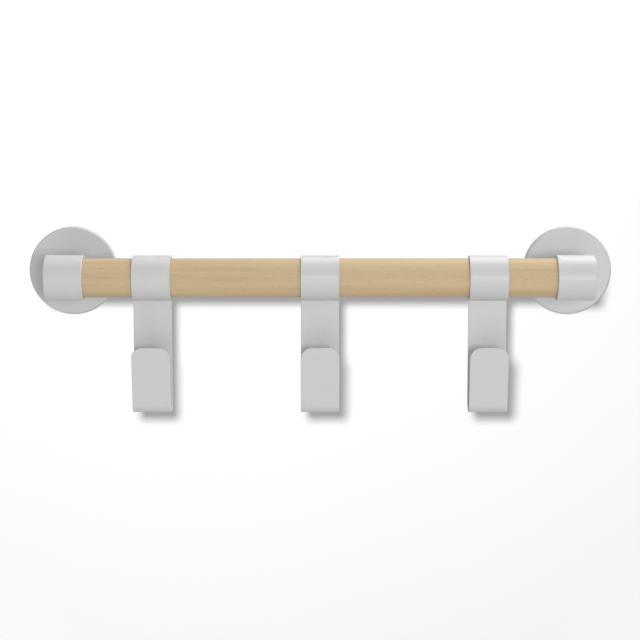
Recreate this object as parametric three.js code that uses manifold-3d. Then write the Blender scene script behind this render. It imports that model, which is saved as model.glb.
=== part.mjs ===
// A wall-mounted coat rail: a wooden rod held between two round rosettes, with three bent-strip hooks on it.
// Millimetres. +X runs along the rod, -Y faces the room, +Y points into the wall and +Z is up.
// The origin lies on the wall plane, midway between the rosettes, level with the rod's axis.
import * as THREE from "three";
import { mergeVertices } from "three/addons/utils/BufferGeometryUtils.js";
import Module from "manifold-3d";

const wasm = await Module();
wasm.setup();

// The rail
const ROD_DIAMETER = 30;
const ROD_STANDOFF = 55; // wall plane to rod axis
const BRACKET_X = 196; // middle of the rail to the axis of each bracket
const ROD_CHAMFER = 1;

// The end cups
const CUP_DIAMETER = 35;
const CUP_LENGTH = 29.5;
const CUP_FLOOR = 2.5;
const CUP_EDGE = 0.8;
const ROD_CLEARANCE = 0.3; // all round between rod and cup, and at the rod's ends

// The rosettes and the discs behind them
const ROSETTE_DIAMETER = 69;
const ROSETTE_DEPTH = 7;
const ROSETTE_FACE = 2; // thickness of the front
const ROSETTE_RIM = 2.5; // thickness of the rim
const ROSETTE_EDGE = 1.2;
const DISC_DIAMETER = 62;
const DISC_THICKNESS = 3.5;
const DISC_WINDOW = 8.5; // radius of the middle opening, which the bolt's head passes
const WALL_SCREW_X = 20; // bracket axis to each wall screw
const WALL_SCREW_RADIUS = 2.4;
const WALL_SCREW_HEAD = 4.6;

// The posts and their bolts
const POST_DIAMETER = 18;
const POST_CHAMFER = 0.5;
const POST_BORE_END = 22; // wall plane to the bottom of the threaded bore
const BOLT_RADIUS = 3;
const BOLT_END = 20; // wall plane to the bolt's tip
const BOLT_HEAD_RADIUS = 5.25;
const BOLT_HEAD_HEIGHT = 3.3;
const BOLT_SOCKET = 2.3; // corner radius of the hexagon
const BOLT_HOLE = 3.3;

// The set screws, all driven from below
const GRUB_RADIUS = 1.5;
const GRUB_Y = -2.4;
const GRUB_TOP = 31.3; // distance of its tip from the bracket axis
const GRUB_BOTTOM = 34.2;
const LOCK_RADIUS = 2;
const LOCK_TOP = 11.9; // distance of its tip from the rod axis
const LOCK_BOTTOM = 17.4;
const SCREW_CLEARANCE = 0.2;

// The hooks
const HOOK_NAMES = ["left", "centre", "right"];
const HOOK_PITCH = 129;
const STRIP_WIDTH = 29.5;
const STRIP_THICKNESS = 1.5;
const LOOP_RADIUS = 15.7; // inside of the loop
const LOOP_END = 269; // degrees: where the strip's end meets the stem, seen along the rod
const STEM_Y = 1.3; // middle of the stem behind the rod axis
const STEM_BEND = 2.5; // mid radius of the bend from loop to stem
const HOOK_DROP = 103.3; // rod axis to the lowest point
const BEND_RADIUS = 8.5; // mid radius of the bottom bend
const LIP_LEAN = THREE.MathUtils.degToRad(10);
const LIP_TOP = 50.8; // rod axis down to the lip's top edge
const LIP_CORNER = 8.7;
const LINER_INSIDE = 15.12;
const LINER_THICKNESS = 0.4;
const LINER_LENGTH = 28.5;

const ROUND = 40; // flats on a large circle
const SMALL_ROUND = 16; // flats on a screw
const GAP = 0.2; // between faces that touch

const POWDER_COAT = { color: 0xc8c8c8, roughness: 0.5, metalness: 0.1 };
const WOOD = { color: 0xc3ac8c, roughness: 0.6, metalness: 0 };
const ZINC = { color: 0xb4b6b8, roughness: 0.35, metalness: 0.9 };
const DARK_STEEL = { color: 0x55565a, roughness: 0.4, metalness: 0.9 };
const NYLON = { color: 0xe6e4de, roughness: 0.6, metalness: 0 };

// Extrusions are drawn in the XY plane and run along Z. These two turn that plane to the side and to the front.
const SIDE_VIEW = new THREE.Matrix4().makeBasis(
  new THREE.Vector3(0, 1, 0),
  new THREE.Vector3(0, 0, 1),
  new THREE.Vector3(1, 0, 0),
);
const FRONT_VIEW = new THREE.Matrix4().makeBasis(
  new THREE.Vector3(1, 0, 0),
  new THREE.Vector3(0, 0, 1),
  new THREE.Vector3(0, -1, 0),
);

// A manifold-3d solid of a closed three.js geometry.
function solid(geometry) {
  const bare = geometry.index ? geometry.toNonIndexed() : geometry.clone();
  bare.deleteAttribute("normal");
  bare.deleteAttribute("uv");
  const merged = mergeVertices(bare, 1e-4);
  const vertProperties = merged.attributes.position.array;
  const triVerts = new Uint32Array(merged.index.array);
  return new wasm.Manifold(new wasm.Mesh({ numProp: 3, vertProperties, triVerts }));
}

// The three.js geometry of a manifold-3d solid, with flat normals.
function geometryOf(body) {
  const { numProp, vertProperties, triVerts } = body.getMesh();
  const positions = new Float32Array(triVerts.length * 3);
  triVerts.forEach((vertex, corner) => {
    positions.set(vertProperties.subarray(vertex * numProp, vertex * numProp + 3), corner * 3);
  });
  const geometry = new THREE.BufferGeometry();
  geometry.setAttribute("position", new THREE.BufferAttribute(positions, 3));
  geometry.computeVertexNormals();
  return geometry;
}

function cut(geometry, ...tools) {
  return geometryOf(tools.reduce((rest, tool) => rest.subtract(solid(tool)), solid(geometry)));
}

function piece(name, geometry, finish) {
  const mesh = new THREE.Mesh(geometry, new THREE.MeshStandardMaterial(finish));
  mesh.name = name;
  return mesh;
}

// Points of a quarter circle in a lathe profile, about (radius, height), from one angle in degrees to another.
function corner(radius, height, size, from, to) {
  const steps = 3;
  return Array.from({ length: steps + 1 }, (_, i) => {
    const angle = THREE.MathUtils.degToRad(from + ((to - from) * i) / steps);
    return [radius + size * Math.cos(angle), height + size * Math.sin(angle)];
  });
}

// A body turned about the Y axis. Its profile is a list of [radius, y], outside from low y to high y.
function turned(profile, flats = ROUND) {
  return new THREE.LatheGeometry(
    profile.map(([radius, height]) => new THREE.Vector2(radius, height)),
    flats,
  );
}

function alongX(geometry, direction = 1) {
  return geometry.rotateZ((-direction * Math.PI) / 2);
}

// A round bar along X, as a tool for cutting.
function barX(radius, length) {
  return alongX(new THREE.CylinderGeometry(radius, radius, length, ROUND));
}

// A round bar along Z between two heights.
function barZ(radius, low, high) {
  const bar = new THREE.CylinderGeometry(radius, radius, high - low, SMALL_ROUND);
  return bar.rotateX(Math.PI / 2).translate(0, 0, (low + high) / 2);
}

function hexSocket(cornerRadius, depth) {
  return new THREE.CylinderGeometry(cornerRadius, cornerRadius, 2 * depth, 6);
}

// A slotless set screw that stands along Z, with its hexagon socket in the lower end.
function setScrew(radius, low, high) {
  const chamfer = radius / 5;
  const socket = hexSocket(radius * 0.6, radius).rotateX(Math.PI / 2).translate(0, 0, low);
  const body = turned(
    [
      [0, low],
      [radius - chamfer, low],
      [radius, low + chamfer],
      [radius, high - chamfer],
      [radius - chamfer, high],
      [0, high],
    ],
    SMALL_ROUND,
  ).rotateX(Math.PI / 2);
  return cut(body, socket);
}

function rodGeometry() {
  const radius = ROD_DIAMETER / 2;
  const half = BRACKET_X + CUP_LENGTH / 2 - CUP_FLOOR - ROD_CLEARANCE;
  const rod = alongX(
    turned([
      [0, -half],
      [radius - ROD_CHAMFER, -half],
      [radius, ROD_CHAMFER - half],
      [radius, half - ROD_CHAMFER],
      [radius - ROD_CHAMFER, half],
      [0, half],
    ]),
  );
  const holes = [-BRACKET_X, BRACKET_X].map((x) =>
    barZ(LOCK_RADIUS + SCREW_CLEARANCE, -radius - 1, -LOCK_TOP + GAP).translate(x, 0, 0),
  );
  return cut(rod, ...holes);
}

// The cup opens towards the middle of the rail. side is -1 on the left and 1 on the right.
function cupGeometry(side) {
  const outside = CUP_DIAMETER / 2;
  const inside = ROD_DIAMETER / 2 + ROD_CLEARANCE;
  const half = CUP_LENGTH / 2;
  const cup = turned([
    [0, half - CUP_FLOOR],
    [inside, half - CUP_FLOOR],
    [inside, -half],
    ...corner(outside - CUP_EDGE, CUP_EDGE - half, CUP_EDGE, -90, 0),
    ...corner(outside - CUP_EDGE, half - CUP_EDGE, CUP_EDGE, 0, 90),
    [0, half],
  ]);
  const hole = barZ(LOCK_RADIUS + SCREW_CLEARANCE, -outside - 1, -inside + 1);
  return cut(alongX(cup, side), hole);
}

function rosetteGeometry() {
  const outside = ROSETTE_DIAMETER / 2;
  const inside = outside - ROSETTE_RIM;
  const dish = turned([
    [BOLT_HOLE, -ROSETTE_DEPTH],
    ...corner(outside - ROSETTE_EDGE, ROSETTE_EDGE - ROSETTE_DEPTH, ROSETTE_EDGE, -90, 0),
    [outside, 0],
    [inside, 0],
    [inside, ROSETTE_FACE - ROSETTE_DEPTH],
    [BOLT_HOLE, ROSETTE_FACE - ROSETTE_DEPTH],
    [BOLT_HOLE, -ROSETTE_DEPTH],
  ]);
  const grubHole = barZ(GRUB_RADIUS + SCREW_CLEARANCE, -outside - 1, -inside + 1).translate(0, GRUB_Y, 0);
  return cut(dish, grubHole);
}

function discGeometry() {
  const disc = turned([
    [DISC_WINDOW, -DISC_THICKNESS],
    [DISC_DIAMETER / 2, -DISC_THICKNESS],
    [DISC_DIAMETER / 2, 0],
    [DISC_WINDOW, 0],
    [DISC_WINDOW, -DISC_THICKNESS],
  ]);
  const sink = WALL_SCREW_HEAD - WALL_SCREW_RADIUS;
  const holes = [-WALL_SCREW_X, WALL_SCREW_X].map((x) =>
    turned(
      [
        [0, -DISC_THICKNESS - 1],
        [WALL_SCREW_HEAD + 1, -DISC_THICKNESS - 1],
        [WALL_SCREW_RADIUS, sink - DISC_THICKNESS],
        [WALL_SCREW_RADIUS, 1],
        [0, 1],
      ],
      SMALL_ROUND,
    ).translate(x, 0, 0),
  );
  return cut(disc, ...holes);
}

// The post's room end is hollowed to the cup's round back, where it is welded.
function postGeometry() {
  const radius = POST_DIAMETER / 2;
  const base = -ROSETTE_DEPTH - GAP;
  const post = turned([
    [0, -ROD_STANDOFF],
    [radius, -ROD_STANDOFF],
    [radius, base - POST_CHAMFER],
    [radius - POST_CHAMFER, base],
    [BOLT_HOLE, base],
    [BOLT_HOLE, -POST_BORE_END],
    [0, -POST_BORE_END],
  ]);
  const saddle = barX(CUP_DIAMETER / 2 + GAP, CUP_LENGTH).translate(0, -ROD_STANDOFF, 0);
  return cut(post, saddle);
}

// A button-head bolt: the head stands inside the rosette and the shank runs into the post.
function boltGeometry() {
  const seat = ROSETTE_FACE - ROSETTE_DEPTH + GAP;
  const top = seat + BOLT_HEAD_HEIGHT;
  const tip = BOLT_RADIUS / 5;
  const bolt = turned(
    [
      [0, -BOLT_END],
      [BOLT_RADIUS - tip, -BOLT_END],
      [BOLT_RADIUS, tip - BOLT_END],
      [BOLT_RADIUS, seat],
      [BOLT_HEAD_RADIUS, seat],
      [BOLT_HEAD_RADIUS, seat + BOLT_HEAD_HEIGHT / 4],
      [BOLT_HEAD_RADIUS * 0.9, seat + BOLT_HEAD_HEIGHT * 0.65],
      [BOLT_HEAD_RADIUS * 0.65, top],
      [0, top],
    ],
    24,
  );
  return cut(bolt, hexSocket(BOLT_SOCKET, BOLT_HEAD_HEIGHT * 0.6).translate(0, top, 0));
}

function linerGeometry() {
  const half = LINER_LENGTH / 2;
  const outside = LINER_INSIDE + LINER_THICKNESS;
  return alongX(
    turned([
      [LINER_INSIDE, -half],
      [outside, -half],
      [outside, half],
      [LINER_INSIDE, half],
      [LINER_INSIDE, -half],
    ]),
  );
}

// The strip seen along the rod: x is the model's Y and y its Z, about the rod axis.
// One long side of the strip runs from the loop's end to the lip, and the other comes back.
function stripOutline() {
  const half = STRIP_THICKNESS / 2;
  const loop = LOOP_RADIUS + half;
  const leave = -Math.acos((STEM_Y + STEM_BEND) / (loop + STEM_BEND));
  const neck = new THREE.Vector2(Math.cos(leave), Math.sin(leave)).multiplyScalar(loop + STEM_BEND);
  const bend = new THREE.Vector2(STEM_Y - BEND_RADIUS, BEND_RADIUS + half - HOOK_DROP);
  const lipFoot = new THREE.Vector2(-Math.cos(LIP_LEAN), -Math.sin(LIP_LEAN));
  const lipRise = new THREE.Vector2(-Math.sin(LIP_LEAN), Math.cos(LIP_LEAN));
  const lipLength = (LIP_CORNER - LIP_TOP - bend.y) / lipRise.y;
  const loopEnd = THREE.MathUtils.degToRad(LOOP_END);
  const towardsStem = leave + Math.PI;
  const outline = new THREE.Shape();
  const lipEnd = (offset) =>
    bend.clone().addScaledVector(lipFoot, BEND_RADIUS + offset).addScaledVector(lipRise, lipLength);
  // outside of the loop, back of the stem and underside of the bottom bend
  outline.absarc(0, 0, loop + half, loopEnd, leave, true);
  outline.absarc(neck.x, neck.y, STEM_BEND - half, towardsStem, Math.PI, false);
  outline.absarc(bend.x, bend.y, BEND_RADIUS + half, 0, LIP_LEAN - Math.PI, true);
  outline.lineTo(...lipEnd(half).toArray());
  // inside of the lip and bend, front of the stem and inside of the loop
  outline.lineTo(...lipEnd(-half).toArray());
  outline.absarc(bend.x, bend.y, BEND_RADIUS - half, LIP_LEAN - Math.PI, 0, false);
  outline.absarc(neck.x, neck.y, STEM_BEND + half, Math.PI, towardsStem, true);
  outline.absarc(0, 0, LOOP_RADIUS, leave, loopEnd, false);
  outline.closePath();
  return outline;
}

// What is taken off above the lip, seen from the front, so that its top corners are round.
function lipCutter() {
  const half = STRIP_WIDTH / 2;
  const shoulder = -LIP_TOP - LIP_CORNER;
  const above = -LIP_TOP + 2 * LIP_CORNER;
  const outline = new THREE.Shape();
  outline.moveTo(-half - 1, shoulder);
  outline.absarc(LIP_CORNER - half, shoulder, LIP_CORNER, Math.PI, Math.PI / 2, true);
  outline.absarc(half - LIP_CORNER, shoulder, LIP_CORNER, Math.PI / 2, 0, true);
  outline.lineTo(half + 1, shoulder);
  outline.lineTo(half + 1, above);
  outline.lineTo(-half - 1, above);
  outline.closePath();
  const depth = 6 * BEND_RADIUS;
  const tool = new THREE.ExtrudeGeometry(outline, { depth, steps: 1, bevelEnabled: false, curveSegments: 6 });
  return tool.applyMatrix4(FRONT_VIEW).translate(0, -BEND_RADIUS, 0);
}

function hookGeometry() {
  const strip = new THREE.ExtrudeGeometry(stripOutline(), {
    depth: STRIP_WIDTH,
    steps: 1,
    bevelEnabled: false,
    curveSegments: ROUND / 2,
  });
  strip.applyMatrix4(SIDE_VIEW).translate(-STRIP_WIDTH / 2, 0, 0);
  return cut(strip, lipCutter());
}

function bracket(name, side) {
  const group = new THREE.Group();
  const cup = piece(`${name}_end_cup`, cupGeometry(side), POWDER_COAT);
  const lock = piece(`${name}_rod_lock_screw`, setScrew(LOCK_RADIUS, -LOCK_BOTTOM, -LOCK_TOP), DARK_STEEL);
  const grub = piece(`${name}_rosette_grub_screw`, setScrew(GRUB_RADIUS, -GRUB_BOTTOM, -GRUB_TOP), DARK_STEEL);
  cup.position.y = -ROD_STANDOFF;
  lock.position.y = -ROD_STANDOFF;
  grub.position.y = GRUB_Y;
  group.add(
    cup,
    lock,
    grub,
    piece(`${name}_rosette`, rosetteGeometry(), POWDER_COAT),
    piece(`${name}_mounting_disc`, discGeometry(), ZINC),
    piece(`${name}_post`, postGeometry(), POWDER_COAT),
    piece(`${name}_post_bolt`, boltGeometry(), ZINC),
  );
  group.position.x = side * BRACKET_X;
  return group;
}

function hook(name, place) {
  const group = new THREE.Group();
  group.add(
    piece(`${name}_hook`, hookGeometry(), POWDER_COAT),
    piece(`${name}_hook_liner`, linerGeometry(), NYLON),
  );
  group.position.x = (place - 1) * HOOK_PITCH;
  return group;
}

const rail = new THREE.Group();
rail.add(piece("rail_rod", rodGeometry(), WOOD), ...HOOK_NAMES.map(hook));
rail.position.y = -ROD_STANDOFF;

const coatRail = new THREE.Group();
coatRail.name = "wall_coat_rail";
coatRail.add(rail, bracket("left", -1), bracket("right", 1));

export default coatRail;
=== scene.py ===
from math import acos, atan2, cos, pi, radians, sin, sqrt, tan

import bmesh
import bpy
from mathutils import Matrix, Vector


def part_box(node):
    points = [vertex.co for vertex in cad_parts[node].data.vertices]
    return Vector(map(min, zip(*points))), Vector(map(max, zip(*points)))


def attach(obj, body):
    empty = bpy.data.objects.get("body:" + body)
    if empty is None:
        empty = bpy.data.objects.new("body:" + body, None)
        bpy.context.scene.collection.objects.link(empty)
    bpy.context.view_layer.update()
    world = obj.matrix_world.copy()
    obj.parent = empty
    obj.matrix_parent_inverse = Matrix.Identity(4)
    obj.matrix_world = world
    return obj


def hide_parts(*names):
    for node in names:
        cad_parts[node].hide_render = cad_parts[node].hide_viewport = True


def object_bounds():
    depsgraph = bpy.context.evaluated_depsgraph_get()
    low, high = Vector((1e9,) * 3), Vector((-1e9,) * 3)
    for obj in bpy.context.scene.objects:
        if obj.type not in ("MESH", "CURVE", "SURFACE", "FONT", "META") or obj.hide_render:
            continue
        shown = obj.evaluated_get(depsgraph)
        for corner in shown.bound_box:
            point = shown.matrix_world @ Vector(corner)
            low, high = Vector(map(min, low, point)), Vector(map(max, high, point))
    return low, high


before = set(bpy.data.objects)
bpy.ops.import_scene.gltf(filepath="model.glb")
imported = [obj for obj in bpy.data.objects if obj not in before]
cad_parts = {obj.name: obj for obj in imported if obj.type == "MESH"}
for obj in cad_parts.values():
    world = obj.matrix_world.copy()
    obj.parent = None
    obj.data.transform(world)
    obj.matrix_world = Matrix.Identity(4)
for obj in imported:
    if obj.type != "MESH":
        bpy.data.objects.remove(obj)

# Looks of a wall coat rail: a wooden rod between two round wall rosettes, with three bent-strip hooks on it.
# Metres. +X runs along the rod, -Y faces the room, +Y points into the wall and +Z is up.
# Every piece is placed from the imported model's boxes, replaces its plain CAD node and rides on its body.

CAD_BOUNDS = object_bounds()
MM = 0.001
MICRON = 0.000001

SIDES = {"left": -1, "right": 1}
HOOKS = ("left", "centre", "right")
RAIL_BODY = "rail"

# Mesh fineness
ROUND = 128  # points round a large circle
SMALL_ROUND = 48  # points round a screw, a multiple of the hexagon's six sides
EDGE_STEPS = 4  # faces round a softened edge
ARC_STEP = radians(3)  # a bent strip has one face for each of these
LINE_STEP = 4 * MM
SHARP = radians(32)  # faces that meet at more than this keep a crisp edge
SAME_POINT = 0.1 * MICRON  # points nearer than this are one

# Edges and walls that a box can't give
SOFT_EDGE = 0.35 * MM
FINE_EDGE = 0.12 * MM
ROD_CHAMFER = 1 * MM
ROD_CLEARANCE = 0.3 * MM
CUP_FLOOR = 2.5 * MM
CUP_EDGE = 0.8 * MM
ROSETTE_FACE = 2 * MM
ROSETTE_RIM = 2.5 * MM
ROSETTE_EDGE = 1.2 * MM
DISC_WINDOW = 8.5 * MM
WALL_SCREW_X = 20 * MM
WALL_SCREW_RADIUS = 2.4 * MM
WALL_SCREW_HEAD = 4.6 * MM
BOLT_RADIUS = 3 * MM
BOLT_HEAD_HEIGHT = 3.3 * MM
BOLT_SOCKET = 2.3 * MM
BOLT_HOLE = 3.3 * MM
BOLT_LAND = 1.25  # radius of the flat top round the socket, in socket radii
BOLT_SHOULDER = (0.86, 0.28)  # a point of the domed head: share of its radius, share of its height down
BOLT_RIM = 0.75  # share of the head's height down to its rim
SOCKET_DEPTH = 0.6  # share of the head's height
BORE_DEPTH = 2 * MM  # past the bolt's tip
SCREW_CLEARANCE = 0.2 * MM
SET_SCREW_SOCKET = 0.6  # share of the screw's radius
SET_SCREW_EDGE = 0.2  # share of the screw's radius
WELD_BEAD = 1.1 * MM
WELD_RIPPLES = 44
WELD_RIPPLE_DEPTH = 0.07
LINER_THICKNESS = 0.4 * MM

# The strip of a hook
STRIP_THICKNESS = 1.5 * MM
LOOP_CLEARANCE = 0.18 * MM  # between the liner and the loop
LOOP_END = radians(269)  # where the strip's end meets the stem, seen along the rod
STEM_Y = 1.3 * MM  # middle of the stem behind the rod axis
NECK_RADIUS = 2.5 * MM
BEND_RADIUS = 8.5 * MM
LIP_LEAN = radians(10)
LIP_TOP = 50.8 * MM  # rod axis down to the lip's top edge
LIP_CORNER = 8.7 * MM
STRIP_END_CORNER = 0.8 * MM

# Camera and stage
CAMERA_DISTANCE = 1.502  # in front of the wall
CAMERA_HEIGHT = 0.1755  # above the rod axis
CAMERA_PITCH = radians(8.19)
CAMERA_LENS = 106.7
WALL_GAP = 0.3 * MM
STAGE_SIZE = 12
FLOOR_DROP = 0.22  # below the lowest point of the hooks
FLOOR_TONE = 0.8
FLOOR_GLOW = 0.35
WALL_TONE = 0.04
WALL_GLOW = 0.35  # beside the object, where the wall's light casts shadows
WALL_FADE = (0.35, 1.5)  # distances over which the glow grows to 1
ROOM_LIGHT = 0.59  # brightness all round, as the object receives it
ROOM_LEAN = (0.3, 0, 0)  # where the room is brighter
ROOM_SEEN = 0.95

# Lights: direction from the middle of the rail, distance, diameter, and how bright a white surface gets
TOP_LIGHT = ((0.3, 0.42, 1), 1.6, 1.3, 0.86)
FRONT_LIGHT = ((0.2, -1, 0.12), 2.2, 0.6, 0.38)
LOW_LIGHT = ((-0.1, -1, -0.6), 1.6, 1.6, 0.2)
SHADOW_LIGHT = ((-0.086, -1, 0.257), 1.513, 0.22, 0.68 / WALL_TONE)
SHADOW_CASTERS = ("_rod", "_cup", "_hook", "_rosette")

PIECES = []  # every piece placed on the object

X_AXIS = Vector((1, 0, 0))
Y_AXIS = Vector((0, 1, 0))
Z_AXIS = Vector((0, 0, 1))
AROUND = {"X": (X_AXIS, Y_AXIS, Z_AXIS), "Y": (Y_AXIS, X_AXIS, Z_AXIS), "Z": (Z_AXIS, X_AXIS, Y_AXIS)}


# ---------- Places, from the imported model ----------

def middle(node):
    low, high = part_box(node)
    return (low + high) / 2


def half_size(node):
    low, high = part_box(node)
    return (high - low) / 2


ROD_AXIS = middle("rail_rod")
ROD_RADIUS = half_size("rail_rod").z
ROD_HALF = half_size("rail_rod").x
CUP_RADIUS = half_size("left_end_cup").z


# ---------- Mesh building ----------

def fillet(corner, before, after, radius, steps=EDGE_STEPS):
    """Points of the arc that rounds a corner of an outline."""
    back = (before - corner).normalized()
    ahead = (after - corner).normalized()
    half_angle = back.angle(ahead) / 2
    centre = corner + (back + ahead).normalized() * radius / sin(half_angle)
    first = corner + back * radius / tan(half_angle) - centre
    last = corner + ahead * radius / tan(half_angle) - centre
    start = atan2(first.y, first.x)
    turn = (atan2(last.y, last.x) - start + pi) % (2 * pi) - pi
    angles = (start + turn * i / steps for i in range(steps + 1))
    return [centre + radius * Vector((cos(angle), sin(angle))) for angle in angles]


def rounded(outline, closed=False):
    """Plain points of an outline of (radius, height, rounding) corners. An open one's ends stay sharp."""
    points = [Vector(corner[:2]) for corner in outline]
    result = []
    for i, (corner, rounding) in enumerate(zip(points, (corner[2] for corner in outline))):
        is_end = not closed and i in (0, len(points) - 1)
        if is_end or not rounding:
            result.append(corner)
        else:
            result += fillet(corner, points[i - 1], points[(i + 1) % len(points)], rounding)
    return result


def hexagon(angle):
    """Distance from the middle to the edge of a hexagon whose corners are 1 away."""
    return cos(pi / 6) / cos((angle % (pi / 3)) - pi / 6)


def ring(axis, place, radius, height, flats, form=None):
    """A ring of points about an axis. form, if given, scales the radius at each angle."""
    along, across, up = AROUND[axis]
    points = []
    for i in range(flats):
        angle = 2 * pi * i / flats
        reach = radius * form(angle) if form else radius
        points.append(place + height * along + reach * (cos(angle) * across + sin(angle) * up))
    return points


def new_piece(name, shape):
    """An object from a bmesh, shaded smooth with crisp edges where its faces meet at an angle."""
    bmesh.ops.remove_doubles(shape, verts=shape.verts, dist=SAME_POINT)
    bmesh.ops.recalc_face_normals(shape, faces=shape.faces)
    mesh = bpy.data.meshes.new(name)
    shape.to_mesh(mesh)
    shape.free()
    piece = bpy.data.objects.new(name, mesh)
    bpy.context.scene.collection.objects.link(piece)
    shade(piece)
    return piece


def shade(piece):
    piece.data.polygons.foreach_set("use_smooth", [True] * len(piece.data.polygons))
    piece.data.set_sharp_from_angle(angle=SHARP)


def skin(name, rings, closed=False, ladders=False):
    """A mesh over a row of rings. closed joins the last to the first, ladders fills both ends rung by rung.
    Points that meet become one, so a ring may shrink to a tip."""
    shape = bmesh.new()
    rows = [[shape.verts.new(point) for point in points] for points in rings]
    pairs = list(zip(rows, rows[1:]))
    if closed:
        pairs.append((rows[-1], rows[0]))
    for low, high in pairs:
        for i in range(len(low)):
            shape.faces.new((low[i - 1], low[i], high[i], high[i - 1]))
    if ladders:
        for row in (rows[0], rows[-1]):
            for i in range(len(row) // 2 - 1):
                shape.faces.new((row[i], row[i + 1], row[-i - 2], row[-i - 1]))
    return new_piece(name, shape)


def turned(name, axis, place, outline, flats=ROUND, closed=False, direction=1):
    """A body turned about an axis from (radius, height, rounding) corners."""
    points = rounded(outline, closed)
    rings = [ring(axis, place, radius, direction * height, flats) for radius, height in points]
    return skin(name, rings, closed)


def cut(piece, *tools):
    """Takes the tools out of a piece and deletes them."""
    for tool in tools:
        modifier = piece.modifiers.new("cut", "BOOLEAN")
        modifier.operation = "DIFFERENCE"
        modifier.solver = "EXACT"
        modifier.object = tool
    bpy.context.view_layer.update()
    graph = bpy.context.evaluated_depsgraph_get()
    result = bpy.data.meshes.new_from_object(piece.evaluated_get(graph))
    piece.modifiers.clear()
    used = [piece.data] + [tool.data for tool in tools]
    piece.data = result
    for mesh in used:
        bpy.data.meshes.remove(mesh)
    shade(piece)
    return piece


# ---------- Materials ----------

def add(tree, kind, settings=None, **inputs):
    """A shader node. Inputs are named with _ for a space and take a value or another node's output."""
    node = tree.nodes.new(kind)
    for key, value in (settings or {}).items():
        setattr(node, key, value)
    for key, value in inputs.items():
        socket = node.inputs[key.replace("_", " ")]
        if isinstance(value, bpy.types.NodeSocket):
            tree.links.new(value, socket)
        else:
            socket.default_value = value
    return node


def blank_material(name):
    material = bpy.data.materials.new(name)
    material.use_nodes = True
    tree = material.node_tree
    place = add(tree, "ShaderNodeTexCoord").outputs["Object"]
    return material, tree, tree.nodes["Principled BSDF"], place


def noise(tree, place, size, detail=2.0, stretch=None):
    """Noise whose lumps are about size across. stretch makes them that many times longer along each axis."""
    if stretch:
        longer = [1 / times for times in stretch]
        place = add(tree, "ShaderNodeMapping", Vector=place, Scale=longer).outputs["Vector"]
    texture = add(tree, "ShaderNodeTexNoise", Vector=place, Scale=1 / size, Detail=detail)
    return texture.outputs["Fac"]


def ramp(tree, value, *stops):
    """Colours along a value, from (position, colour) stops."""
    node = add(tree, "ShaderNodeValToRGB", Fac=value)
    elements = node.color_ramp.elements
    while len(elements) < len(stops):
        elements.new(0.5)
    for element, (position, colour) in zip(elements, stops):
        element.position = position
        element.color = (*colour, 1)
    return node.outputs["Color"]


def grey(level):
    return (level, level, level)


def spread(tree, value, low, high, start=0.3, end=0.7):
    """Maps the middle of a noise's range to low .. high."""
    node = add(tree, "ShaderNodeMapRange", Value=value)
    node.inputs["From Min"].default_value = start
    node.inputs["From Max"].default_value = end
    node.inputs["To Min"].default_value = low
    node.inputs["To Max"].default_value = high
    return node.outputs["Result"]


def mix(tree, share, first, second, blend="MIX"):
    node = add(tree, "ShaderNodeMix", {"data_type": "RGBA", "blend_type": blend})
    for index, value in ((0, share), (6, first), (7, second)):
        socket = node.inputs[index]
        if isinstance(value, bpy.types.NodeSocket):
            tree.links.new(value, socket)
        else:
            socket.default_value = value if index == 0 else (*value, 1)
    return node.outputs[2]


def bump(tree, height, depth, under=None):
    node = add(tree, "ShaderNodeBump", Height=height, Distance=depth, Strength=1.0)
    if under:
        tree.links.new(under, node.inputs["Normal"])
    return node.outputs["Normal"]


def powder_coat():
    """Light grey satin powder coat: faint clouds, fine grains, an orange-peel surface and paler edges."""
    material, tree, shader, place = blank_material("powder_coat")
    clouds = noise(tree, place, 14 * MM, 3)
    grains = noise(tree, place, 0.35 * MM, 2)
    peel = noise(tree, place, 1.7 * MM, 1)
    base = ramp(tree, clouds, (0.3, grey(0.505)), (0.7, grey(0.53)))
    speckled = mix(tree, 0.5, base, ramp(tree, grains, (0.35, grey(0.48)), (0.65, grey(0.555))))
    # sharp convex edges, found by pointiness, are mixed towards a paler grey
    edges = add(tree, "ShaderNodeNewGeometry").outputs["Pointiness"]
    pale_edge_share = spread(tree, edges, 0, 0.35, 0.52, 0.6)
    coloured = mix(tree, pale_edge_share, speckled, grey(0.62))
    tree.links.new(coloured, shader.inputs["Base Color"])
    tree.links.new(spread(tree, clouds, 0.40, 0.48), shader.inputs["Roughness"])
    surface = bump(tree, grains, 1.5 * MICRON, bump(tree, peel, 12 * MICRON))
    tree.links.new(surface, shader.inputs["Normal"])
    return material


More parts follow.
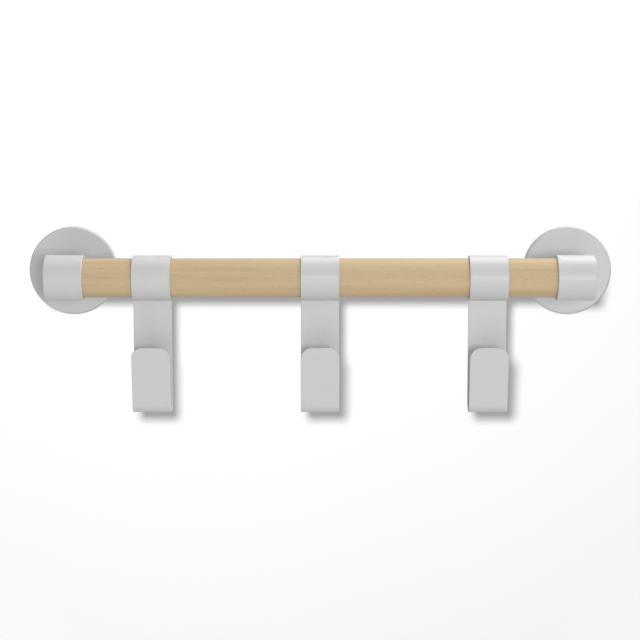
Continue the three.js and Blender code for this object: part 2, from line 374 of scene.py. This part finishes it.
def wood():
    """Light wood under matt lacquer, with growth bands, fibres and short dark flecks along X."""
    material, tree, shader, place = blank_material("wood")
    bands = noise(tree, place, 3.2 * MM, 2, (60, 1, 2.4))
    fibres = noise(tree, place, 0.32 * MM, 4, (90, 1, 1))
    tone = noise(tree, place, 30 * MM, 2, (4, 1, 1))
    fleck_field = noise(tree, place, 0.45 * MM, 1, (9, 1, 1))
    growth = [(0.32, (0.455, 0.333, 0.19)), (0.5, (0.512, 0.386, 0.228)), (0.68, (0.542, 0.415, 0.25))]
    grain = [(0.3, (0.406, 0.29, 0.165)), (0.7, (0.58, 0.449, 0.278))]
    warmth = [(0.35, (0.484, 0.338, 0.188)), (0.65, (0.56, 0.444, 0.287))]
    pale = ramp(tree, bands, *growth)
    streaked = mix(tree, 0.32, pale, ramp(tree, fibres, *grain))
    toned = mix(tree, 0.12, streaked, ramp(tree, tone, *warmth))
    flecks = spread(tree, fleck_field, 0, 0.45, 0.64, 0.74)
    coloured = mix(tree, flecks, toned, (0.29, 0.183, 0.094))
    tree.links.new(coloured, shader.inputs["Base Color"])
    tree.links.new(spread(tree, fibres, 0.55, 0.7), shader.inputs["Roughness"])
    shader.inputs["Specular IOR Level"].default_value = 0.3
    surface = bump(tree, fibres, 16 * MICRON, bump(tree, bands, 20 * MICRON))
    tree.links.new(surface, shader.inputs["Normal"])
    return material


def zinc_plate():
    """Bright zinc on sheet steel: drawn streaks, crystals and a little staining."""
    material, tree, shader, place = blank_material("zinc_plate")
    streaks = noise(tree, place, 0.3 * MM, 2, (30, 1, 1))
    stains = noise(tree, place, 7 * MM, 3)
    staining = [(0.3, (0.56, 0.58, 0.6)), (0.6, (0.66, 0.67, 0.68)), (0.75, (0.68, 0.665, 0.62))]
    tint = ramp(tree, stains, *staining)
    coloured = mix(tree, 0.35, tint, ramp(tree, streaks, (0.3, grey(0.5)), (0.7, grey(0.74))))
    shader.inputs["Metallic"].default_value = 1.0
    tree.links.new(coloured, shader.inputs["Base Color"])
    tree.links.new(spread(tree, streaks, 0.3, 0.46), shader.inputs["Roughness"])
    tree.links.new(bump(tree, streaks, 4 * MICRON), shader.inputs["Normal"])
    return material


def dark_steel():
    """Black-oxide steel of the set screws, with paler rubbed edges."""
    material, tree, shader, place = blank_material("dark_steel")
    mottling = noise(tree, place, 0.5 * MM, 3)
    base = ramp(tree, mottling, (0.3, (0.07, 0.07, 0.078)), (0.7, (0.13, 0.13, 0.14)))
    edges = add(tree, "ShaderNodeNewGeometry").outputs["Pointiness"]
    coloured = mix(tree, spread(tree, edges, 0, 0.6, 0.55, 0.7), base, grey(0.4))
    shader.inputs["Metallic"].default_value = 1.0
    tree.links.new(coloured, shader.inputs["Base Color"])
    tree.links.new(spread(tree, mottling, 0.32, 0.5), shader.inputs["Roughness"])
    tree.links.new(bump(tree, mottling, 5 * MICRON), shader.inputs["Normal"])
    return material


def nylon():
    """Natural nylon of the liners, moulded with a faint texture and rubbed along the rod."""
    material, tree, shader, place = blank_material("nylon")
    cloud = noise(tree, place, 5 * MM, 2)
    rubbing = noise(tree, place, 0.5 * MM, 2, (25, 1, 1))
    base = ramp(tree, cloud, (0.3, (0.74, 0.725, 0.68)), (0.7, (0.8, 0.79, 0.75)))
    coloured = mix(tree, 0.2, base, ramp(tree, rubbing, (0.3, grey(0.62)), (0.7, grey(0.84))))
    tree.links.new(coloured, shader.inputs["Base Color"])
    tree.links.new(spread(tree, rubbing, 0.42, 0.6), shader.inputs["Roughness"])
    tree.links.new(bump(tree, rubbing, 5 * MICRON), shader.inputs["Normal"])
    return material


MATERIALS = {
    "powder_coat": powder_coat(),
    "wood": wood(),
    "zinc_plate": zinc_plate(),
    "dark_steel": dark_steel(),
    "nylon": nylon(),
}


def mount(piece, body, node, slot):
    """Gives a piece its material and puts it on its body, in place of a CAD node if one is named."""
    normals = piece.modifiers.new("normals", "WEIGHTED_NORMAL")
    normals.keep_sharp = True
    piece.data.materials.clear()
    piece.data.materials.append(MATERIALS[slot])
    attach(piece, body)
    if node:
        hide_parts(node)
    PIECES.append(piece)


# ---------- The rod and its end cups ----------

def screw_hole(node):
    """A tool for a standing set screw's hole, from below the piece to just above the screw's tip."""
    place = middle(node)
    radius = half_size(node).x + SCREW_CLEARANCE
    height = half_size(node).z
    outline = [
        (0, -4 * height, 0),
        (radius, -4 * height, 0),
        (radius, height + SCREW_CLEARANCE, 0),
        (0, height + SCREW_CLEARANCE, 0),
    ]
    return turned("hole", "Z", place, outline, SMALL_ROUND)


def make_rod():
    outline = [
        (0, -ROD_HALF, 0),
        (ROD_RADIUS, -ROD_HALF, ROD_CHAMFER),
        (ROD_RADIUS, ROD_HALF, ROD_CHAMFER),
        (0, ROD_HALF, 0),
    ]
    rod = turned("wooden_rod", "X", ROD_AXIS, outline)
    cut(rod, *[screw_hole(f"{name}_rod_lock_screw") for name in SIDES])
    mount(rod, RAIL_BODY, "rail_rod", "wood")


def make_cup(name, side):
    """A tube closed at its outer end and open towards the middle of the rail."""
    place = middle(f"{name}_end_cup")
    half = half_size(f"{name}_end_cup").x
    inside = ROD_RADIUS + ROD_CLEARANCE
    outline = [
        (0, half - CUP_FLOOR, 0),
        (inside, half - CUP_FLOOR, SOFT_EDGE),
        (inside, -half, SOFT_EDGE),
        (CUP_RADIUS, -half, CUP_EDGE),
        (CUP_RADIUS, half, CUP_EDGE),
        (0, half, 0),
    ]
    cup = turned(f"{name}_cup", "X", place, outline, direction=side)
    cut(cup, screw_hole(f"{name}_rod_lock_screw"))
    mount(cup, RAIL_BODY, f"{name}_end_cup", "powder_coat")


# ---------- Rosettes, discs and posts ----------

def make_rosette(name):
    place = middle(f"{name}_rosette")
    half = half_size(f"{name}_rosette").y
    outside = half_size(f"{name}_rosette").x
    inside = outside - ROSETTE_RIM
    face_back = ROSETTE_FACE - half
    outline = [
        (BOLT_HOLE, -half, FINE_EDGE),
        (outside, -half, ROSETTE_EDGE),
        (outside, half, SOFT_EDGE),
        (inside, half, FINE_EDGE),
        (inside, face_back, SOFT_EDGE),
        (BOLT_HOLE, face_back, FINE_EDGE),
    ]
    rosette = turned(f"{name}_wall_rosette", "Y", place, outline, closed=True)
    cut(rosette, screw_hole(f"{name}_rosette_grub_screw"))
    mount(rosette, RAIL_BODY, f"{name}_rosette", "powder_coat")


def countersink(place, half):
    """A tool for one wall screw's hole through the disc, wide on the room's side."""
    past = 1 * MM
    sink = WALL_SCREW_HEAD - WALL_SCREW_RADIUS
    outline = [
        (0, -half - past, 0),
        (WALL_SCREW_HEAD + past, -half - past, 0),
        (WALL_SCREW_RADIUS, sink - half, 0),
        (WALL_SCREW_RADIUS, half + past, 0),
        (0, half + past, 0),
    ]
    return turned("countersink", "Y", place, outline, SMALL_ROUND)


def make_disc(name):
    place = middle(f"{name}_mounting_disc")
    half = half_size(f"{name}_mounting_disc").y
    outside = half_size(f"{name}_mounting_disc").x
    outline = [
        (DISC_WINDOW, -half, FINE_EDGE),
        (outside, -half, SOFT_EDGE),
        (outside, half, SOFT_EDGE),
        (DISC_WINDOW, half, FINE_EDGE),
    ]
    disc = turned(f"{name}_disc", "Y", place, outline, closed=True)
    holes = [countersink(place + offset * X_AXIS, half) for offset in (-WALL_SCREW_X, WALL_SCREW_X)]
    cut(disc, *holes)
    mount(disc, RAIL_BODY, f"{name}_mounting_disc", "zinc_plate")


def cup_back(across, clearance=0.0):
    """How far towards the wall the cup's round back reaches at a height across from the rod's axis."""
    return ROD_AXIS.y + sqrt((CUP_RADIUS + clearance) ** 2 - across**2)


def saddle_ring(x, radius, clearance):
    """A ring about the post's axis that lies on the cup's round back."""
    points = ring("Y", Vector((x, 0, ROD_AXIS.z)), radius, 0, ROUND)
    for point in points:
        point.y = cup_back(point.z - ROD_AXIS.z, clearance)
    return points


def make_post(name):
    """A turned post with a threaded bore at the wall's end and its other end hollowed to the cup's back."""
    place = Vector((middle(f"{name}_post").x, 0, ROD_AXIS.z))
    radius = half_size(f"{name}_post").x
    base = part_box(f"{name}_post")[1].y
    bore_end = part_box(f"{name}_post_bolt")[0].y - BORE_DEPTH
    shoulder = base - radius
    outline = [
        (0, bore_end, 0),
        (BOLT_HOLE, bore_end, FINE_EDGE),
        (BOLT_HOLE, base, FINE_EDGE),
        (radius, base, SOFT_EDGE),
        (radius, shoulder, 0),
    ]
    rings = [ring("Y", place, size, height, ROUND) for size, height in rounded(outline)]
    rings += [saddle_ring(place.x, radius * share, SCREW_CLEARANCE) for share in (1, 0.6, 0.2, 0)]
    mount(skin(f"{name}_standoff", rings), RAIL_BODY, f"{name}_post", "powder_coat")


def make_weld(name):
    """The weld bead round the post where it meets the cup, with the ripples of its runs."""
    place = Vector((middle(f"{name}_post").x, 0, ROD_AXIS.z))
    radius = half_size(f"{name}_post").x
    rings = []
    for i in range(2 * ROUND):
        angle = pi * i / ROUND
        outwards = cos(angle) * X_AXIS + sin(angle) * Z_AXIS
        spine = place + radius * outwards + cup_back(radius * sin(angle)) * Y_AXIS
        size = WELD_BEAD * (1 + WELD_RIPPLE_DEPTH * sin(WELD_RIPPLES * angle))
        turns = (2 * pi * j / SMALL_ROUND for j in range(SMALL_ROUND))
        rings.append([spine + size * (cos(turn) * outwards + sin(turn) * Y_AXIS) for turn in turns])
    weld = skin(f"{name}_weld", rings, closed=True)
    mount(weld, RAIL_BODY, None, "powder_coat")


# ---------- Screws ----------

def socket_rings(axis, place, size, mouth, floor):
    """Rings of a hexagon socket from its mouth to the tip of its drilled floor."""
    cone = floor + (floor - mouth) / 4
    return [
        ring(axis, place, size, mouth, SMALL_ROUND, hexagon),
        ring(axis, place, size, floor, SMALL_ROUND, hexagon),
        ring(axis, place, 0, cone, SMALL_ROUND),
    ]


def make_bolt(name):
    """A button-head bolt, head inside the rosette and shank in the post."""
    low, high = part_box(f"{name}_post_bolt")
    place = Vector((middle(f"{name}_post_bolt").x, 0, ROD_AXIS.z))
    head = half_size(f"{name}_post_bolt").x
    seat = high.y - BOLT_HEAD_HEIGHT
    shoulder_radius, shoulder_drop = BOLT_SHOULDER
    outline = [
        (0, low.y, 0),
        (BOLT_RADIUS, low.y, SOFT_EDGE),
        (BOLT_RADIUS, seat, 0),
        (head, seat, FINE_EDGE),
        (head, high.y - BOLT_HEAD_HEIGHT * BOLT_RIM, SOFT_EDGE),
        (head * shoulder_radius, high.y - BOLT_HEAD_HEIGHT * shoulder_drop, 2 * SOFT_EDGE),
        (BOLT_SOCKET * BOLT_LAND, high.y, SOFT_EDGE),
        (BOLT_SOCKET, high.y, 0),
    ]
    rings = [ring("Y", place, size, height, SMALL_ROUND) for size, height in rounded(outline)]
    rings += socket_rings("Y", place, BOLT_SOCKET, high.y, high.y - BOLT_HEAD_HEIGHT * SOCKET_DEPTH)
    mount(skin(f"{name}_bolt", rings), RAIL_BODY, f"{name}_post_bolt", "zinc_plate")


def make_set_screw(name, node):
    """A set screw that stands along Z, driven by the hexagon socket in its lower end."""
    low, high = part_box(node)
    place = Vector((middle(node).x, middle(node).y, 0))
    radius = half_size(node).x
    socket = radius * SET_SCREW_SOCKET
    edge = radius * SET_SCREW_EDGE
    outline = [
        (0, high.z, 0),
        (radius, high.z, edge),
        (radius, low.z, edge),
        (socket, low.z, 0),
    ]
    rings = [ring("Z", place, size, height, SMALL_ROUND) for size, height in rounded(outline)]
    rings += socket_rings("Z", place, socket, low.z, low.z + radius)
    mount(skin(name, rings), RAIL_BODY, node, "dark_steel")


# ---------- Hooks ----------

def bent(centre, radius, start, turn, side=1):
    """A round stretch of the strip's centreline: its length, the spacing of its points, and a function that
    gives the point and outward normal at a distance. side is -1 where the outward side faces the bend's
    centre."""
    way = 1 if turn > 0 else -1

    def at(distance):
        angle = start + way * distance / radius
        spoke = Vector((cos(angle), sin(angle)))
        return centre + radius * spoke, side * spoke

    return abs(turn) * radius, ARC_STEP * radius, at


def straight(start, direction, length, normal):
    """A straight stretch of the strip's centreline, given as bent() gives it."""
    def at(distance):
        return start + distance * direction, normal

    return length, LINE_STEP, at


def centreline(loop, drop):
    """The strip seen along the rod, as (y, z) about the rod's axis: round the rod from its end under the
    front, down the stem, and forward and up into the lip."""
    reach = loop + NECK_RADIUS
    leave = -acos((STEM_Y + NECK_RADIUS) / reach)
    neck = reach * Vector((cos(leave), sin(leave)))
    bend = Vector((STEM_Y - BEND_RADIUS, BEND_RADIUS - drop))
    lip_foot = bend - BEND_RADIUS * Vector((cos(LIP_LEAN), sin(LIP_LEAN)))
    lip_length = (-LIP_TOP - lip_foot.y) / cos(LIP_LEAN)
    down = Vector((0, -1))
    lip_rise = Vector((-sin(LIP_LEAN), cos(LIP_LEAN)))
    lip_front = -Vector((cos(LIP_LEAN), sin(LIP_LEAN)))
    return [
        bent(Vector((0, 0)), loop, LOOP_END, leave - LOOP_END),
        bent(neck, NECK_RADIUS, leave + pi, -leave, side=-1),
        straight(Vector((STEM_Y, neck.y)), down, neck.y - bend.y, Vector((1, 0))),
        bent(bend, BEND_RADIUS, 0, LIP_LEAN - pi),
        straight(lip_foot, lip_rise, lip_length, lip_front),
    ]


def point_along(path, distance):
    for length, _, at in path:
        if distance <= length:
            return at(distance)
        distance -= length
    return at(length + distance)


def stations(path):
    """Distances along the strip where it has a row of points."""
    start = 0
    result = []
    for length, step, _ in path:
        count = max(2, round(length / step))
        result += [start + length * i / count for i in range(count)]
        start += length
    return result, start


def strip_edge(between, total, half_width, inset):
    """One long edge of the strip, drawn flat as (distance, half width) and moved in by inset.
    Its first corner is small and its last, at the lip, is large."""
    quarter = [pi / 2 * i / (4 * EDGE_STEPS) for i in range(4 * EDGE_STEPS + 1)]
    first = STRIP_END_CORNER - inset
    last = LIP_CORNER - inset
    edge = [
        (STRIP_END_CORNER - first * cos(a), half_width - STRIP_END_CORNER + first * sin(a))
        for a in quarter[:: EDGE_STEPS]
    ]
    edge += [(distance, half_width - inset) for distance in between]
    edge += [(total - LIP_CORNER + last * sin(a), half_width - LIP_CORNER + last * cos(a)) for a in quarter]
    return edge


def edge_section():
    """(inset, height) round the strip's edge, from its outward face to its inward face."""
    angles = [pi / 2 * i / EDGE_STEPS for i in range(EDGE_STEPS + 1)]
    flat = STRIP_THICKNESS / 2
    quarter = [(SOFT_EDGE * (1 - sin(a)), flat - SOFT_EDGE * (1 - cos(a))) for a in angles]
    return quarter + [(inset, -height) for inset, height in reversed(quarter)]


def make_hook(name):
    """One flat strip with round edges, bent round the rod and into the hook."""
    node = f"{name}_hook"
    low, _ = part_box(node)
    loop = half_size(f"{name}_hook_liner").z + LOOP_CLEARANCE + STRIP_THICKNESS / 2
    path = centreline(loop, ROD_AXIS.z - low.z - STRIP_THICKNESS / 2)
    rows, total = stations(path)
    between = [distance for distance in rows if STRIP_END_CORNER < distance < total - LIP_CORNER]
    place = Vector((middle(node).x, ROD_AXIS.y, ROD_AXIS.z))

    def on_strip(across, distance, height):
        point, normal = point_along(path, distance)
        spot = point + height * normal
        return place + Vector((across, spot.x, spot.y))

    rings = []
    for inset, height in edge_section():
        edge = strip_edge(between, total, half_size(node).x, inset)
        one_side = [on_strip(-width, distance, height) for distance, width in edge]
        other_side = [on_strip(width, distance, height) for distance, width in reversed(edge)]
        rings.append(one_side + other_side)
    hook = skin(f"{name}_strip_hook", rings, ladders=True)
    mount(hook, f"{name}_swinger", node, "powder_coat")


def make_liner(name):
    """A thin sleeve between the hook's loop and the rod."""
    node = f"{name}_hook_liner"
    half = half_size(node).x
    outside = half_size(node).z
    inside = outside - LINER_THICKNESS
    outline = [
        (inside, -half, FINE_EDGE),
        (outside, -half, FINE_EDGE),
        (outside, half, FINE_EDGE),
        (inside, half, FINE_EDGE),
    ]
    liner = turned(f"{name}_liner", "X", middle(node), outline, closed=True)
    mount(liner, f"{name}_slider", node, "nylon")


# ---------- Stage ----------

def plane(name, points):
    mesh = bpy.data.meshes.new(name)
    mesh.from_pydata(points, [], [(0, 1, 2, 3)])
    ground = bpy.data.objects.new(name, mesh)
    bpy.context.scene.collection.objects.link(ground)
    return ground


def plain_material(name, level, glow):
    """An even matt surface that glows a little by itself."""
    material, tree, shader, place = blank_material(name)
    tone = ramp(tree, noise(tree, place, 0.4, 2), (0.3, grey(0.99 * level)), (0.7, grey(1.01 * level)))
    tree.links.new(tone, shader.inputs["Base Color"])
    shader.inputs["Roughness"].default_value = 0.9
    shader.inputs["Specular IOR Level"].default_value = 0.1
    shader.inputs["Emission Color"].default_value = (1, 1, 1, 1)
    shader.inputs["Emission Strength"].default_value = glow
    return material


def wall_material():
    """Plain white wall that is clear from behind, so that it doesn't hide the back of the object."""
    material = plain_material("white_wall", WALL_TONE, 1)
    tree = material.node_tree
    place = add(tree, "ShaderNodeTexCoord").outputs["Object"]
    shader = tree.nodes["Principled BSDF"]
    away = add(tree, "ShaderNodeVectorMath", {"operation": "LENGTH"})
    tree.links.new(place, away.inputs[0])
    glow = spread(tree, away.outputs["Value"], WALL_GLOW, 1, *WALL_FADE)
    tree.links.new(glow, shader.inputs["Emission Color"])
    back = add(tree, "ShaderNodeNewGeometry").outputs["Backfacing"]
    clear = add(tree, "ShaderNodeBsdfTransparent")
    either = add(tree, "ShaderNodeMixShader", Fac=back)
    tree.links.new(shader.outputs["BSDF"], either.inputs[1])
    tree.links.new(clear.outputs["BSDF"], either.inputs[2])
    tree.links.new(either.outputs["Shader"], tree.nodes["Material Output"].inputs["Surface"])
    return material


def make_stage():
    """A pale floor and a wall that only the camera sees, so that they neither shade nor light the object."""
    low, high = CAD_BOUNDS
    floor_z = low.z - FLOOR_DROP
    wall_y = high.y + WALL_GAP
    s = STAGE_SIZE
    floor = plane("floor", [(-s, -s, floor_z), (s, -s, floor_z), (s, s, floor_z), (-s, s, floor_z)])
    floor.data.materials.append(plain_material("pale_floor", FLOOR_TONE, FLOOR_GLOW))
    wall = plane("wall", [(-s, wall_y, floor_z), (s, wall_y, floor_z), (s, wall_y, s), (-s, wall_y, s)])
    wall.data.materials.append(wall_material())
    for ground in (floor, wall):
        ground.visible_diffuse = False
        ground.visible_glossy = False
        ground.visible_transmission = False
        ground.visible_shadow = False
    return wall


def area_light(name, direction, distance, size, strength):
    """A round soft light that shines on the middle of the rail from a direction. strength is how bright it
    makes a white surface that faces it."""
    data = bpy.data.lights.new(name, "AREA")
    data.shape = "DISK"
    data.size = size
    data.energy = strength * (pi * distance) ** 2
    light = bpy.data.objects.new(name, data)
    bpy.context.scene.collection.objects.link(light)
    light.location = middle("centre_hook") + distance * Vector(direction).normalized()
    light.rotation_euler = Vector(direction).to_track_quat("Z", "Y").to_euler()
    return light


def group(name, objects):
    collection = bpy.data.collections.new(name)
    for item in objects:
        collection.objects.link(item)
    return collection


def make_lights(wall):
    """Soft light from above, in front and below, for the object alone. One more light shines on the wall
    alone, where the object casts its soft shadow."""
    rail = group("object", PIECES)
    for name, settings in (("top_light", TOP_LIGHT), ("front_light", FRONT_LIGHT), ("low_light", LOW_LIGHT)):
        area_light(name, *settings).light_linking.receiver_collection = rail
    shadow = area_light("shadow_light", *SHADOW_LIGHT)
    shadow.light_linking.receiver_collection = group("wall_only", [wall])
    casters = [piece for piece in PIECES if piece.name.endswith(SHADOW_CASTERS)]
    shadow.light_linking.blocker_collection = group("shadow_casters", casters)


def make_surrounding():
    """A pale room that is brighter on the right, and plain white where the camera sees it."""
    world = bpy.data.worlds.new("surrounding")
    bpy.context.scene.world = world
    world.use_nodes = True
    tree = world.node_tree
    way = add(tree, "ShaderNodeTexCoord").outputs["Generated"]
    lean = add(tree, "ShaderNodeVectorMath", {"operation": "DOT_PRODUCT"})
    tree.links.new(way, lean.inputs[0])
    lean.inputs[1].default_value = ROOM_LEAN
    glow = spread(tree, lean.outputs["Value"], 0, 2 * ROOM_LIGHT, -1, 1)
    seen = add(tree, "ShaderNodeLightPath").outputs["Is Camera Ray"]
    strength = add(tree, "ShaderNodeMix", {"data_type": "FLOAT"}, Factor=seen, A=glow, B=ROOM_SEEN)
    background = tree.nodes["Background"]
    background.inputs["Color"].default_value = (1, 1, 1, 1)
    tree.links.new(strength.outputs["Result"], background.inputs["Strength"])


def make_camera():
    data = bpy.data.cameras.new("camera")
    data.lens = CAMERA_LENS
    camera = bpy.data.objects.new("camera", data)
    bpy.context.scene.collection.objects.link(camera)
    camera.location = (0, -CAMERA_DISTANCE, ROD_AXIS.z + CAMERA_HEIGHT)
    camera.rotation_euler = (pi / 2 - CAMERA_PITCH, 0, 0)
    bpy.context.scene.camera = camera
    bpy.context.scene.view_settings.view_transform = "Standard"


make_camera()
make_surrounding()
make_rod()
for side_name, side in SIDES.items():
    make_cup(side_name, side)
    make_rosette(side_name)
    make_disc(side_name)
    make_post(side_name)
    make_weld(side_name)
    make_bolt(side_name)
    make_set_screw(f"{side_name}_rosette_set_screw", f"{side_name}_rosette_grub_screw")
    make_set_screw(f"{side_name}_rod_set_screw", f"{side_name}_rod_lock_screw")
for hook_name in HOOKS:
    make_liner(hook_name)
    make_hook(hook_name)
make_lights(make_stage())
